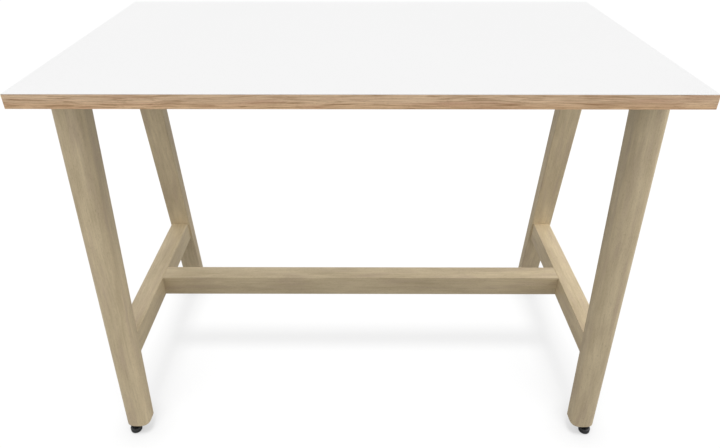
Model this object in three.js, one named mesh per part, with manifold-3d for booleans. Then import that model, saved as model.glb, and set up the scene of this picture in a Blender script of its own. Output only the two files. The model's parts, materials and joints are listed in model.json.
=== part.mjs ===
// A communion table, 1200 x 700 mm and 900 mm high: a white laminate top with wood edge bands on
// two A-shaped end frames, whose crowned hardwood legs are tied by stretchers in an H.
// Millimetres. +Z is up, +X is right and -Y is the front. The origin is on the floor, under the
// centre of the top.
import * as THREE from 'three';
import { mergeVertices } from 'three/addons/utils/BufferGeometryUtils.js';
import Module from 'manifold-3d';

const wasm = await Module();
wasm.setup();

// ---- Driving dimensions -------------------------------------------------------------------

// Top: a core board edged all round, under a laminate that covers board and edges alike, and a
// balancing laminate underneath.
const TOP_LENGTH = 1200;
const TOP_DEPTH = 700;
const TABLE_HEIGHT = 900;
const TOP_THICKNESS = 26.6;
const LAMINATE_THICKNESS = 0.8;
const EDGE_BAND_THICKNESS = 2;

// Gaps between neighbouring pieces.
const GLUE_LINE = 0.1;
const JOINT_GAP = 0.3;
const HOLE_GAP = 0.3;
const THREAD_GAP = 0.08;

// Legs: the section at the floor end and at the head, each centred on x, y at height z. The face
// towards the middle of the table is flat, and the opposite side is crowned.
const UNDERSIDE = TABLE_HEIGHT - TOP_THICKNESS;
const LEG_FOOT = { x: 549.5, y: 295.5, z: 30, width: 57, depth: 43, crown: 29 };
const LEG_HEAD = { x: 562, y: 205, z: UNDERSIDE - JOINT_GAP, width: 60, depth: 63, crown: 36 };
const CROWN_EXPONENT = 3;
const CROWN_SEGMENTS = 24;
const LEG_INNER_RADIUS = 3;

// Stretchers and the rails under the top.
const STRETCHER_WIDTH = 48;
const STRETCHER_HEIGHT = 56;
const STRETCHER_TOP = 266;
const STRETCHER_X = 553.5;
const RAIL_WIDTH = 48;
const RAIL_HEIGHT = 60;
const RAIL_X = 561.5;

// Dowels, the same everywhere.
const DOWEL_RADIUS = 5;
const DOWEL_CHAMFER = 1;
const LEG_DOWEL_LENGTH = 60;
const DOWEL_IN_LEG = 26;
const STRETCHER_DOWEL_PITCH = 28;
const RAIL_DOWEL_PITCH = 30;
const CENTRE_DOWEL_LENGTH = 40;
const CENTRE_DOWEL_DROP = 16;
const DOWEL_END_SPACE = 1.5;

// Knock-down joint between the centre stretcher and each side stretcher: an M8 socket bolt, a
// barrel nut and a wood plug over the bolt's head.
const BOLT_RADIUS = 4;
const BOLT_LENGTH = 80;
const BOLT_HEAD_RADIUS = 6.5;
const BOLT_HEAD_HEIGHT = 8;
const BOLT_SOCKET_RADIUS = 3.4;
const BOLT_SOCKET_DEPTH = 4;
const COUNTERBORE_RADIUS = 8.3;
const COUNTERBORE_DEPTH = 12;
const PLUG_THICKNESS = 3.5;
const BARREL_RADIUS = 6;
const BARREL_LENGTH = 30;
const BARREL_INSET = 34;

// Screws that hold the top to the rails.
const SCREW_RADIUS = 2.5;
const SCREW_LENGTH = 52;
const SCREW_POINT = 6;
const SCREW_HEAD_RADIUS = 5.2;
const SCREW_HEAD_HEIGHT = 3.4;
const SCREW_RECESS_RADIUS = 2.2;
const SCREW_RECESS_DEPTH = 2;
const SCREW_COUNTERBORE_RADIUS = 7;
const SCREW_COUNTERBORE_DEPTH = 25;
const SCREW_SPACING = 120;

// Levelling feet: a threaded insert in the leg, an M10 stud with a hex collar and a ball end, and
// a swivel pad. The pad stands on the floor.
const FOOT_X = 561;
const FOOT_Y = 301;
const INSERT_RADIUS = 7;
const INSERT_LENGTH = 22;
const STUD_RADIUS = 5;
const STUD_TOP = 60;
const STUD_TRAVEL_UP = 8;
const STUD_CHAMFER = 1;
const COLLAR_BOTTOM = 14.4;
const COLLAR_HEIGHT = 6;
const COLLAR_RADIUS = 9.8;
const NECK_RADIUS = 3.6;
const BALL_RADIUS = 4.8;
const BALL_CENTRE = 8;
const SOCKET_GAP = 0.15;
const PAD_RADIUS = 13.5;
const PAD_HEIGHT = 14;
const PAD_EDGE_RADIUS = 4;
const PAD_SHOULDER_RADIUS = 11.5;

// Facets.
const ROUND_SEGMENTS = 16;
const FOOT_SEGMENTS = 24;
const HEX = 6;

// ---- Materials ----------------------------------------------------------------------------

function material(color, roughness, metalness = 0) {
  return () => new THREE.MeshStandardMaterial({ color, roughness, metalness });
}

const whiteLaminate = material(0xf4f4f4, 0.45);
const backingLaminate = material(0xdcd8d0, 0.6);
const coreBoard = material(0xc3a67c, 0.9);
const edgeWood = material(0xb5997e, 0.55);
const legWood = material(0xb2a386, 0.6);
const dowelWood = material(0xcbb48d, 0.8);
const blackNylon = material(0x1b1b1c, 0.5);
const zincSteel = material(0xb4b6b8, 0.35, 0.9);
const blackSteel = material(0x2a2b2c, 0.45, 0.8);

// ---- Helpers ------------------------------------------------------------------------------

const table = new THREE.Group();

function add(name, geometry, makeMaterial) {
  const mesh = new THREE.Mesh(geometry, makeMaterial());
  mesh.name = name;
  table.add(mesh);
}

function toSolid(geometry) {
  const bare = geometry.clone();
  bare.deleteAttribute('normal');
  bare.deleteAttribute('uv');
  const merged = mergeVertices(bare);
  return new wasm.Manifold(new wasm.Mesh({
    numProp: 3,
    vertProperties: new Float32Array(merged.attributes.position.array),
    triVerts: new Uint32Array(merged.index.array),
  }));
}

function fromSolid(solid) {
  const { vertProperties, triVerts } = solid.getMesh();
  const geometry = new THREE.BufferGeometry();
  geometry.setAttribute('position', new THREE.BufferAttribute(vertProperties, 3));
  geometry.setIndex(new THREE.BufferAttribute(triVerts, 1));
  geometry.computeVertexNormals();
  return geometry;
}

function cut(geometry, cutters) {
  let solid = toSolid(geometry);
  for (const cutter of cutters) {
    solid = solid.subtract(toSolid(cutter));
  }
  return fromSolid(solid);
}

function lerp(a, b, t) {
  return a + (b - a) * t;
}

function box(low, high) {
  const size = high.map((value, i) => value - low[i]);
  const centre = high.map((value, i) => (value + low[i]) / 2);
  return new THREE.BoxGeometry(...size).translate(...centre);
}

// A cylinder between two ends, from and to, on a line along a world axis through `at`.
function rod(axis, at, from, to, radius, segments = ROUND_SEGMENTS) {
  const geometry = new THREE.CylinderGeometry(radius, radius, Math.abs(to - from), segments);
  const centre = [...at];
  centre['xyz'.indexOf(axis)] = (from + to) / 2;
  if (axis === 'x') geometry.rotateZ(Math.PI / 2);
  if (axis === 'z') geometry.rotateX(Math.PI / 2);
  return geometry.translate(...centre);
}

// A solid of revolution about the vertical line through x, y. The profile is a list of
// [radius, height] that starts and ends on the axis or closes on itself, going up the outside.
function turned(profile, x, y, segments) {
  const points = profile.map(([radius, height]) => new THREE.Vector2(radius, height));
  return new THREE.LatheGeometry(points, segments).rotateX(Math.PI / 2).translate(x, y, 0);
}

// The points of an arc in a profile, centred on [r, h], from one angle to another in degrees.
function arc(r, h, radius, fromDegrees, toDegrees, steps) {
  const points = [];
  for (let i = 0; i <= steps; i += 1) {
    const angle = THREE.MathUtils.degToRad(lerp(fromDegrees, toDegrees, i / steps));
    points.push([r + radius * Math.cos(angle), h + radius * Math.sin(angle)]);
  }
  return points;
}

// ---- Places that repeat -------------------------------------------------------------------

const SIDES = [
  { side: 'left', sx: -1 },
  { side: 'right', sx: 1 },
];
const ENDS = [
  { end: 'front', sy: -1 },
  { end: 'back', sy: 1 },
];
const LEVELS = [
  { level: 'lower', sz: -1 },
  { level: 'upper', sz: 1 },
];
const CORNERS = ENDS.flatMap((end) => SIDES.map((side) => ({ ...end, ...side })));

const STRETCHER_MIDDLE = STRETCHER_TOP - STRETCHER_HEIGHT / 2;
const RAIL_TOP = UNDERSIDE - JOINT_GAP;
const RAIL_BOTTOM = RAIL_TOP - RAIL_HEIGHT;
const RAIL_MIDDLE = RAIL_TOP - RAIL_HEIGHT / 2;
const SIDE_INNER_FACE = STRETCHER_X - STRETCHER_WIDTH / 2;
const SIDE_OUTER_FACE = STRETCHER_X + STRETCHER_WIDTH / 2;

// How far the leg's flat inner face stands from the table's middle at a height.
function legInnerFace(z) {
  const t = (z - LEG_FOOT.z) / (LEG_HEAD.z - LEG_FOOT.z);
  return lerp(LEG_FOOT.y - LEG_FOOT.depth / 2, LEG_HEAD.y - LEG_HEAD.depth / 2, t);
}

// Every dowel that joins a cross piece to a leg, for one corner.
function legDowels({ sy }, x, middle, pitch) {
  return LEVELS.map(({ level, sz }) => {
    const z = middle + sz * pitch / 2;
    const face = legInnerFace(z);
    return { level, at: [x, 0, z], face: sy * face, sy };
  });
}

function dowelHoleInLeg({ at, face, sy }) {
  const outside = face - sy * DOWEL_RADIUS;
  const bottom = face + sy * (DOWEL_IN_LEG + DOWEL_END_SPACE);
  return rod('y', at, outside, bottom, DOWEL_RADIUS + HOLE_GAP);
}

function dowelHoleInCrossPiece({ at, face, sy }) {
  const outside = face + sy * DOWEL_RADIUS;
  const bottom = face - sy * (LEG_DOWEL_LENGTH - DOWEL_IN_LEG + DOWEL_END_SPACE);
  return rod('y', at, outside, bottom, DOWEL_RADIUS + HOLE_GAP);
}

// A dowel of a length with chamfered ends, its axis along Z and its middle at the origin.
function dowelShape(length) {
  const half = length / 2;
  return turned([
    [0, -half],
    [DOWEL_RADIUS - DOWEL_CHAMFER, -half],
    [DOWEL_RADIUS, DOWEL_CHAMFER - half],
    [DOWEL_RADIUS, half - DOWEL_CHAMFER],
    [DOWEL_RADIUS - DOWEL_CHAMFER, half],
    [0, half],
  ], 0, 0, ROUND_SEGMENTS);
}

function addLegDowel(name, { at, face, sy }) {
  const [x, , z] = at;
  const y = face + sy * (DOWEL_IN_LEG - LEG_DOWEL_LENGTH / 2);
  const geometry = dowelShape(LEG_DOWEL_LENGTH).rotateX(Math.PI / 2).translate(x, y, z);
  add(name, geometry, dowelWood);
}

// ---- Top ----------------------------------------------------------------------------------

const SCREW_SEAT = RAIL_BOTTOM + SCREW_COUNTERBORE_DEPTH;
const SCREW_TIP = SCREW_SEAT + SCREW_LENGTH;
const SCREW_PLACES = SIDES.flatMap(({ side, sx }) => [
  { place: `${side}_front`, x: sx * RAIL_X, y: -SCREW_SPACING },
  { place: `${side}_middle`, x: sx * RAIL_X, y: 0 },
  { place: `${side}_back`, x: sx * RAIL_X, y: SCREW_SPACING },
]);

function screwHole({ x, y }, from, to) {
  return rod('z', [x, y, 0], from, to, SCREW_RADIUS + HOLE_GAP);
}

function buildTop() {
  const halfLength = TOP_LENGTH / 2 - EDGE_BAND_THICKNESS - GLUE_LINE;
  const halfDepth = TOP_DEPTH / 2 - EDGE_BAND_THICKNESS - GLUE_LINE;
  const coreLow = UNDERSIDE + LAMINATE_THICKNESS + GLUE_LINE;
  const laminateLow = TABLE_HEIGHT - LAMINATE_THICKNESS;
  const boardHigh = laminateLow - GLUE_LINE;

  const slab = (low, high) => box([-halfLength, -halfDepth, low], [halfLength, halfDepth, high]);
  const coreHoles = SCREW_PLACES.map((place) => screwHole(place, coreLow - 1, SCREW_TIP + 1));
  const backingLow = UNDERSIDE;
  const backingHigh = UNDERSIDE + LAMINATE_THICKNESS;
  const backingHoles = SCREW_PLACES.map((place) => screwHole(place, backingLow - 1, coreLow + 1));

  const outerX = TOP_LENGTH / 2;
  const outerY = TOP_DEPTH / 2;
  const laminate = box([-outerX, -outerY, laminateLow], [outerX, outerY, TABLE_HEIGHT]);
  add('top_laminate', laminate, whiteLaminate);
  add('top_core', cut(slab(coreLow, boardHigh), coreHoles), coreBoard);
  add('backing_laminate', cut(slab(backingLow, backingHigh), backingHoles), backingLaminate);

  const bandY = outerY - EDGE_BAND_THICKNESS;
  const bandX = outerX - EDGE_BAND_THICKNESS;
  for (const { end, sy } of ENDS) {
    const [low, high] = [sy * bandY, sy * outerY].sort((a, b) => a - b);
    add(`edge_band_${end}`, box([-outerX, low, UNDERSIDE], [outerX, high, boardHigh]), edgeWood);
  }
  for (const { side, sx } of SIDES) {
    const [low, high] = [sx * bandX, sx * outerX].sort((a, b) => a - b);
    const band = box([low, -halfDepth, UNDERSIDE], [high, halfDepth, boardHigh]);
    add(`edge_band_${side}`, band, edgeWood);
  }
}

// ---- Legs ---------------------------------------------------------------------------------

// The leg's outline at one end: a superellipse crown on the outer side, straight flanks, and
// small arcs at the two corners of the flat inner face. `outward` is -1 on front legs.
function legOutline({ x, y, z, width, depth, crown }, sx, outward) {
  const half = width / 2;
  const flank = depth / 2 - crown;
  const outline = [];
  for (let i = 0; i <= CROWN_SEGMENTS; i += 1) {
    const angle = Math.PI * i / CROWN_SEGMENTS;
    const across = Math.sign(Math.cos(angle)) * Math.abs(Math.cos(angle)) ** (2 / CROWN_EXPONENT);
    const along = Math.abs(Math.sin(angle)) ** (2 / CROWN_EXPONENT);
    outline.push([half * across, flank + crown * along]);
  }
  const r = LEG_INNER_RADIUS;
  outline.push(...arc(r - half, r - depth / 2, r, 180, 270, 3));
  outline.push(...arc(half - r, r - depth / 2, r, 270, 360, 3));
  const points = outline.map(([u, v]) => new THREE.Vector3(sx * x + u, outward * (y + v), z));
  return outward > 0 ? points : points.reverse();
}

// A closed solid between two outlines with the same number of points, both anticlockwise seen
// from above.
function loft(lower, upper) {
  const count = lower.length;
  const positions = [...lower, ...upper].flatMap((point) => point.toArray());
  const triangles = [];
  for (let i = 0; i < count; i += 1) {
    const next = (i + 1) % count;
    triangles.push(i, next, count + next, i, count + next, count + i);
  }
  const flat = lower.map((point) => new THREE.Vector2(point.x, point.y));
  for (const [a, b, c] of THREE.ShapeUtils.triangulateShape(flat, [])) {
    triangles.push(c, b, a, count + a, count + b, count + c);
  }
  const geometry = new THREE.BufferGeometry();
  geometry.setAttribute('position', new THREE.Float32BufferAttribute(positions, 3));
  geometry.setIndex(triangles);
  geometry.computeVertexNormals();
  return geometry;
}

function buildLegs() {
  for (const corner of CORNERS) {
    const { end, side, sx, sy } = corner;
    const blank = loft(legOutline(LEG_FOOT, sx, sy), legOutline(LEG_HEAD, sx, sy));
    const footAt = [sx * FOOT_X, sy * FOOT_Y, 0];
    const insertTop = LEG_FOOT.z + INSERT_LENGTH + JOINT_GAP;
    const studRoom = STUD_TOP + STUD_TRAVEL_UP + 2;
    const holes = [
      rod('z', footAt, LEG_FOOT.z - 1, insertTop, INSERT_RADIUS + HOLE_GAP, FOOT_SEGMENTS),
      rod('z', footAt, insertTop - 1, studRoom, STUD_RADIUS + HOLE_GAP, FOOT_SEGMENTS),
    ];
    const stretcherDowels = legDowels(
      corner, sx * STRETCHER_X, STRETCHER_MIDDLE, STRETCHER_DOWEL_PITCH,
    );
    const railDowels = legDowels(corner, sx * RAIL_X, RAIL_MIDDLE, RAIL_DOWEL_PITCH);
    holes.push(...stretcherDowels.map(dowelHoleInLeg), ...railDowels.map(dowelHoleInLeg));
    add(`leg_${end}_${side}`, cut(blank, holes), legWood);

    for (const dowel of stretcherDowels) {
      addLegDowel(`stretcher_dowel_${end}_${side}_${dowel.level}`, dowel);
    }
    for (const dowel of railDowels) {
      addLegDowel(`rail_dowel_${end}_${side}_${dowel.level}`, dowel);
    }
  }
}

// ---- Stretchers and rails -----------------------------------------------------------------

// A piece along Y between the front and back legs of one side, its ends cut to the legs' slope.
function crossPiece(x, width, bottom, top) {
  const lowEnd = legInnerFace(bottom) - JOINT_GAP;
  const highEnd = legInnerFace(top) - JOINT_GAP;
  const profile = new THREE.Shape([
    new THREE.Vector2(-lowEnd, bottom),
    new THREE.Vector2(lowEnd, bottom),
    new THREE.Vector2(highEnd, top),
    new THREE.Vector2(-highEnd, top),
  ]);
  const geometry = new THREE.ExtrudeGeometry(profile, { depth: width, bevelEnabled: false });
  const turn = new THREE.Matrix4().makeBasis(
    new THREE.Vector3(0, 1, 0), new THREE.Vector3(0, 0, 1), new THREE.Vector3(1, 0, 0),
  );
  return geometry.applyMatrix4(turn).translate(x - width / 2, 0, 0);
}

function buildSideStretchers() {
  for (const { side, sx } of SIDES) {
    const x = sx * STRETCHER_X;
    const blank = crossPiece(x, STRETCHER_WIDTH, STRETCHER_TOP - STRETCHER_HEIGHT, STRETCHER_TOP);
    const dowels = ENDS.flatMap(
      (end) => legDowels(end, x, STRETCHER_MIDDLE, STRETCHER_DOWEL_PITCH),
    );
    const boltAt = [0, 0, STRETCHER_MIDDLE];
    const dowelAt = [0, 0, STRETCHER_MIDDLE - CENTRE_DOWEL_DROP];
    const seat = sx * (SIDE_OUTER_FACE - COUNTERBORE_DEPTH);
    const dowelEnd = sx * (SIDE_INNER_FACE + CENTRE_DOWEL_LENGTH / 2 + DOWEL_END_SPACE);
    const innerSide = sx * (SIDE_INNER_FACE - 1);
    add(`side_stretcher_${side}`, cut(blank, [
      ...dowels.map(dowelHoleInCrossPiece),
      rod('x', boltAt, seat, sx * (SIDE_OUTER_FACE + 1), COUNTERBORE_RADIUS, FOOT_SEGMENTS),
      rod('x', boltAt, innerSide, seat + sx, BOLT_RADIUS + HOLE_GAP),
      rod('x', dowelAt, innerSide, dowelEnd, DOWEL_RADIUS + HOLE_GAP),
    ]), legWood);
  }
}

function buildRails() {
  for (const { side, sx } of SIDES) {
    const x = sx * RAIL_X;
    const blank = crossPiece(x, RAIL_WIDTH, RAIL_BOTTOM, RAIL_TOP);
    const dowels = ENDS.flatMap((end) => legDowels(end, x, RAIL_MIDDLE, RAIL_DOWEL_PITCH));
    const screws = SCREW_PLACES.filter((place) => place.x === x);
    add(`top_rail_${side}`, cut(blank, [
      ...dowels.map(dowelHoleInCrossPiece),
      ...screws.map((place) => screwHole(place, RAIL_BOTTOM - 1, RAIL_TOP + 1)),
      ...screws.map(
        (place) => rod('z', [place.x, place.y, 0], RAIL_BOTTOM - 1, SCREW_SEAT, SCREW_COUNTERBORE_RADIUS),
      ),
    ]), legWood);
  }
}

function buildCentreStretcher() {
  const end = SIDE_INNER_FACE - JOINT_GAP;
  const half = STRETCHER_WIDTH / 2;
  const bottom = STRETCHER_TOP - STRETCHER_HEIGHT;
  const boltAt = [0, 0, STRETCHER_MIDDLE];
  const dowelAt = [0, 0, STRETCHER_MIDDLE - CENTRE_DOWEL_DROP];
  const boltTip = SIDE_OUTER_FACE - COUNTERBORE_DEPTH - BOLT_LENGTH;
  const barrelTop = STRETCHER_MIDDLE + BARREL_LENGTH / 2;
  const holes = SIDES.flatMap(({ sx }) => {
    const barrelAt = [sx * (SIDE_INNER_FACE - BARREL_INSET), 0, 0];
    const dowelEnd = sx * (SIDE_INNER_FACE - CENTRE_DOWEL_LENGTH / 2 - DOWEL_END_SPACE);
    return [
      rod('x', boltAt, sx * (end + 1), sx * (boltTip - 2), BOLT_RADIUS + HOLE_GAP),
      rod('x', dowelAt, sx * (end + 1), dowelEnd, DOWEL_RADIUS + HOLE_GAP),
      rod('z', barrelAt, bottom - 1, barrelTop + HOLE_GAP, BARREL_RADIUS + HOLE_GAP),
    ];
  });
  const blank = box([-end, -half, bottom], [end, half, STRETCHER_TOP]);
  add('centre_stretcher', cut(blank, holes), legWood);
}

// ---- Fasteners ----------------------------------------------------------------------------

// The bolt lies along Z here with its head's seat at the origin and its tip at +Z.
function boltShape() {
  const blank = turned([
    [0, -BOLT_HEAD_HEIGHT],
    [BOLT_HEAD_RADIUS - 0.6, -BOLT_HEAD_HEIGHT],
    [BOLT_HEAD_RADIUS, 0.6 - BOLT_HEAD_HEIGHT],
    [BOLT_HEAD_RADIUS, 0],
    [BOLT_RADIUS, 0],
    [BOLT_RADIUS, BOLT_LENGTH - 1],
    [BOLT_RADIUS - 1, BOLT_LENGTH],
    [0, BOLT_LENGTH],
  ], 0, 0, ROUND_SEGMENTS);
  const socketFloor = BOLT_SOCKET_DEPTH - BOLT_HEAD_HEIGHT;
  const socket = rod('z', [0, 0, 0], -BOLT_HEAD_HEIGHT - 1, socketFloor, BOLT_SOCKET_RADIUS, HEX);
  return cut(blank, [socket]);
}

function buildCentreFasteners() {
  const headSeat = SIDE_OUTER_FACE - COUNTERBORE_DEPTH + JOINT_GAP / 2;
  for (const { side, sx } of SIDES) {
    const bolt = boltShape().rotateY(-sx * Math.PI / 2);
    bolt.translate(sx * headSeat, 0, STRETCHER_MIDDLE);
    add(`centre_bolt_${side}`, bolt, zincSteel);

    const barrelX = sx * (SIDE_INNER_FACE - BARREL_INSET);
    const low = STRETCHER_MIDDLE - BARREL_LENGTH / 2;
    const barrel = rod('z', [barrelX, 0, 0], low, low + BARREL_LENGTH, BARREL_RADIUS);
    const across = [barrelX - BARREL_RADIUS - 1, barrelX + BARREL_RADIUS + 1];
    const thread = rod('x', [0, 0, STRETCHER_MIDDLE], ...across, BOLT_RADIUS + HOLE_GAP);
    add(`barrel_nut_${side}`, cut(barrel, [thread]), zincSteel);

    const plugOuter = sx * SIDE_OUTER_FACE;
    const plugInner = sx * (SIDE_OUTER_FACE - PLUG_THICKNESS);
    const plugRadius = COUNTERBORE_RADIUS - HOLE_GAP;
    const plug = rod('x', [0, 0, STRETCHER_MIDDLE], plugInner, plugOuter, plugRadius, FOOT_SEGMENTS);
    add(`bolt_plug_${side}`, plug, legWood);

    const dowel = dowelShape(CENTRE_DOWEL_LENGTH).rotateY(Math.PI / 2);
    dowel.translate(sx * SIDE_INNER_FACE, 0, STRETCHER_MIDDLE - CENTRE_DOWEL_DROP);
    add(`centre_dowel_${side}`, dowel, dowelWood);
  }
}

function buildScrews() {
  const headLow = SCREW_SEAT - SCREW_HEAD_HEIGHT - JOINT_GAP;
  const headHigh = SCREW_SEAT - JOINT_GAP;
  for (const { place, x, y } of SCREW_PLACES) {
    const blank = turned([
      [0, headLow],
      [SCREW_HEAD_RADIUS - 1, headLow],
      [SCREW_HEAD_RADIUS, headLow + 1],
      [SCREW_HEAD_RADIUS, headHigh],
      [SCREW_RADIUS, headHigh],
      [SCREW_RADIUS, SCREW_TIP - SCREW_POINT],
      [0, SCREW_TIP],
    ], x, y, ROUND_SEGMENTS);
    const recessTop = headLow + SCREW_RECESS_DEPTH;
    const recess = rod('z', [x, y, 0], headLow - 1, recessTop, SCREW_RECESS_RADIUS, HEX);
    add(`top_screw_${place}`, cut(blank, [recess]), zincSteel);
  }
}

// ---- Levelling feet -----------------------------------------------------------------------

// The pad: rounded at the floor, with a shoulder above and an open socket that holds the ball.
function padProfile() {
  const socketRadius = BALL_RADIUS + SOCKET_GAP;
  const mouth = NECK_RADIUS + SOCKET_GAP;
  const mouthAngle = THREE.MathUtils.radToDeg(Math.acos(mouth / socketRadius));
  return [
    [0, 0],
    ...arc(PAD_RADIUS - PAD_EDGE_RADIUS, PAD_EDGE_RADIUS, PAD_EDGE_RADIUS, -90, 0, 4),
    [PAD_RADIUS, PAD_HEIGHT - 3],
    [PAD_SHOULDER_RADIUS, PAD_HEIGHT],
    [mouth, PAD_HEIGHT],
    ...arc(0, BALL_CENTRE, socketRadius, mouthAngle, -90, 7).slice(0, -1),
    [0, BALL_CENTRE - socketRadius],
  ];
}

// The stud from its ball end up to its chamfered tip. The hex collar is joined on separately.
function studProfile() {
  const neckAngle = THREE.MathUtils.radToDeg(Math.acos(NECK_RADIUS / BALL_RADIUS));
  return [
    [0, BALL_CENTRE - BALL_RADIUS],
    ...arc(0, BALL_CENTRE, BALL_RADIUS, -90, neckAngle, 7).slice(1),
    [NECK_RADIUS, COLLAR_BOTTOM + 1],
    [STUD_RADIUS, COLLAR_BOTTOM + 1],
    [STUD_RADIUS, STUD_TOP - STUD_CHAMFER],
    [STUD_RADIUS - STUD_CHAMFER, STUD_TOP],
    [0, STUD_TOP],
  ];
}

function insertProfile() {
  const low = LEG_FOOT.z + THREAD_GAP;
  const bore = (STUD_RADIUS + THREAD_GAP) / Math.cos(Math.PI / FOOT_SEGMENTS);
  return [
    [bore, low],
    [INSERT_RADIUS, low],
    [INSERT_RADIUS, low + INSERT_LENGTH],
    [bore, low + INSERT_LENGTH],
    [bore, low],
  ];
}

function buildFeet() {
  for (const { end, side, sx, sy } of CORNERS) {
    const x = sx * FOOT_X;
    const y = sy * FOOT_Y;
    const place = `${end}_${side}`;
    add(`foot_insert_${place}`, turned(insertProfile(), x, y, FOOT_SEGMENTS), zincSteel);

    const shank = toSolid(turned(studProfile(), x, y, FOOT_SEGMENTS));
    const collarTop = COLLAR_BOTTOM + COLLAR_HEIGHT;
    const collar = toSolid(rod('z', [x, y, 0], COLLAR_BOTTOM, collarTop, COLLAR_RADIUS, HEX));
    add(`foot_stud_${place}`, fromSolid(shank.add(collar)), blackSteel);
    add(`foot_pad_${place}`, turned(padProfile(), x, y, FOOT_SEGMENTS), blackNylon);
  }
}

buildTop();
buildLegs();
buildSideStretchers();
buildRails();
buildCentreStretcher();
buildCentreFasteners();
buildScrews();
buildFeet();

export default table;
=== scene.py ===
"""Looks for the communion table: a white laminate top with wood edges on two A-shaped end frames.

Everything is in metres in the frame's axes: +X right, +Y back, +Z up. Each wooden piece has its
own local Z along the grain, so that one wood material runs the right way on all of them.
"""
import json
import math

import bpy
from mathutils import Matrix, Vector

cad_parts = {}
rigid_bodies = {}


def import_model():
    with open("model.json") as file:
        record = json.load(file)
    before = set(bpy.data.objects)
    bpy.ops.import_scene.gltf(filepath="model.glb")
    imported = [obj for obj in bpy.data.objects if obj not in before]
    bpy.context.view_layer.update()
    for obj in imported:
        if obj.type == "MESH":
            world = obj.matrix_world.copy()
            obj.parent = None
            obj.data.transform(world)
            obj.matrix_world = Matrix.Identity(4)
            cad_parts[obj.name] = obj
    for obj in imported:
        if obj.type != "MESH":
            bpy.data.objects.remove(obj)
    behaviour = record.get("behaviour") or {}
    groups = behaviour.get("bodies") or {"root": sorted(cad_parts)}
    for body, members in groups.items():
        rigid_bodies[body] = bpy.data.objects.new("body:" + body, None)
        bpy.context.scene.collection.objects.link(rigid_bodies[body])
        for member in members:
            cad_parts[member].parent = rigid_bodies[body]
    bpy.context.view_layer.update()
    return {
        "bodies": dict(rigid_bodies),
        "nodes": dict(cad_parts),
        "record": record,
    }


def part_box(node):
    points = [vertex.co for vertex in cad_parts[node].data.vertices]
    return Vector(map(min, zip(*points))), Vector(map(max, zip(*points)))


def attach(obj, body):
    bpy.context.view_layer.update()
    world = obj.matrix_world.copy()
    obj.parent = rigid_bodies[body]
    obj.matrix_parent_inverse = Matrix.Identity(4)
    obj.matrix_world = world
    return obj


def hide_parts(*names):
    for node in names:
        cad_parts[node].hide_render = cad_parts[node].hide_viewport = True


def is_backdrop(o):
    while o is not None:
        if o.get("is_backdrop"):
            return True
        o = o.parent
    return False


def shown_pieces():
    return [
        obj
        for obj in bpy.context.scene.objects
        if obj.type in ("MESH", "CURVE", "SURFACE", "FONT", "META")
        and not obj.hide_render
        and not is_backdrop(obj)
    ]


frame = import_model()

MM = 0.001

# How far from a height a point still counts as at it, and the angle in degrees of a sharp edge.
SLICE_REACH = 0.2 * MM
SHARP_ANGLE = 35

# ---- Driving dimensions --------------------------------------------------------------------

# Section of the legs: depth of the crowned side at the foot and at the head, and its roundness.
CROWN_AT_FOOT = 29 * MM
CROWN_AT_HEAD = 36 * MM
CROWN_EXPONENT = 3
CROWN_STEPS = 72
INNER_RADIUS = 3 * MM
FOOT_EASING = 2 * MM
FOOT_STEPS = 5

# Eased edges.
BAR_EASING = 1.5 * MM
PLUG_EASING = 0.5 * MM
BAND_EASING = 0.5 * MM
LAMINATE_EASING = 0.25 * MM
EASING_STEPS = 4

# Holes.
DOWEL_HOLE_RADIUS = 5.3 * MM
DOWEL_END_SPACE = 1.5 * MM
BOLT_HOLE_RADIUS = 4.3 * MM
COUNTERBORE_RADIUS = 8.3 * MM
COUNTERBORE_DEPTH = 12 * MM
BARREL_HOLE_RADIUS = 6.3 * MM
SCREW_HOLE_RADIUS = 2.8 * MM
SCREW_COUNTERBORE_RADIUS = 7 * MM
SCREW_COUNTERBORE_DEPTH = 25 * MM
HOLE_GAP = 0.3 * MM
HOLE_SEGMENTS = 48

# Threads.
STUD_PITCH = 1.5 * MM
BOLT_PITCH = 1.25 * MM
SCREW_PITCH = 2.4 * MM
INSERT_PITCH = 3 * MM
THREAD_STEPS = 8
FLANK_SLOPE = 2.9
FLANK_START = 0.25

# Levelling feet. The shoulder's drop is from the pad's top to the centre of its rounding.
STUD_RADIUS = 5 * MM
STUD_ROOM = 10 * MM
COLLAR_BOTTOM = 14.4 * MM
COLLAR_TOP = 20.4 * MM
COLLAR_RADIUS = 9.8 * MM
NECK_RADIUS = 3.6 * MM
BALL_RADIUS = 4.8 * MM
BALL_CENTRE = 8 * MM
SOCKET_GAP = 0.15 * MM
PAD_EDGE_RADIUS = 4 * MM
PAD_HOLLOW_RADIUS = 6 * MM
PAD_HOLLOW_DEPTH = 0.6 * MM
SHOULDER_RADIUS = 3 * MM
SHOULDER_DROP = 3.5 * MM
LIP_RADIUS = 0.8 * MM
PAD_TOP_RADIUS = 8 * MM
PAD_TOP_EASING = 0.6 * MM
UNDERCUT_RADIUS = 4.1 * MM
UNDERCUT_HEIGHT = 1.2 * MM
STUD_THREAD_DEPTH = 0.85 * MM
STUD_TIP_TAPER = 0.9 * MM
INSERT_EASING = 0.6 * MM
INSERT_BORE_GAP = 0.08 * MM
INSERT_THREAD_DEPTH = 0.9 * MM
INSERT_TIP_TAPER = 0.4 * MM
INSERT_SLOT = 1.8 * MM

# Other fasteners.
DOWEL_RADIUS = 5 * MM
DOWEL_CHAMFER = 1 * MM
DOWEL_FLUTES = 16
DOWEL_FLUTE_DEPTH = 0.35 * MM
BOLT_RADIUS = 4 * MM
BOLT_HEAD_HEIGHT = 8 * MM
BOLT_THREAD_LENGTH = 28 * MM
NUT_EASING = 0.6 * MM
NUT_SLOT = 1.6 * MM
SCREW_RADIUS = 2.5 * MM
SCREW_HEAD_HEIGHT = 3.4 * MM
ROUND_SEGMENTS = 48

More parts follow.
